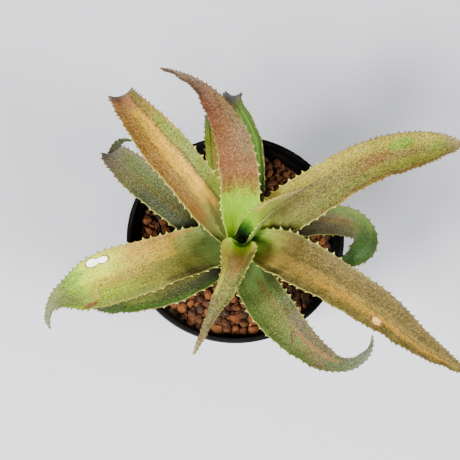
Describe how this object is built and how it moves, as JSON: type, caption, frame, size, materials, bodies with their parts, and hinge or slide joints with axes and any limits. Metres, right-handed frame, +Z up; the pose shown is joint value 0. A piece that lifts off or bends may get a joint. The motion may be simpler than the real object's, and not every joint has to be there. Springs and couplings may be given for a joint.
{
  "type": "potted spiny bromeliad",
  "caption": "Spiny bromeliad rosette with arching, channelled leaves edged in hooked spines, standing in clay granules in a round tapered plastic nursery pot.",
  "frame": {"origin": "middle of the pot's flat underside", "axes": "+Z up out of the pot, -Y towards the side that the picture is taken from, +X to the picture's right"},
  "size_m": [0.1694, 0.128, 0.1287],
  "materials": {
    "pot": "satin",
    "soil": "matte",
    "stem": "matte",
    "leaf": "matte"
  },
  "bodies": {
    "root": {"pot": "pot", "soil": "soil", "stem": "stem", "leaf_01": "leaf", "leaf_02": "leaf", "leaf_03": "leaf", "leaf_04": "leaf", "leaf_05": "leaf", "leaf_06": "leaf", "leaf_07": "leaf", "leaf_08": "leaf", "leaf_09": "leaf", "leaf_10": "leaf", "leaf_11": "leaf", "leaf_12": "leaf", "leaf_13": "leaf"}
  },
  "joints": []
}
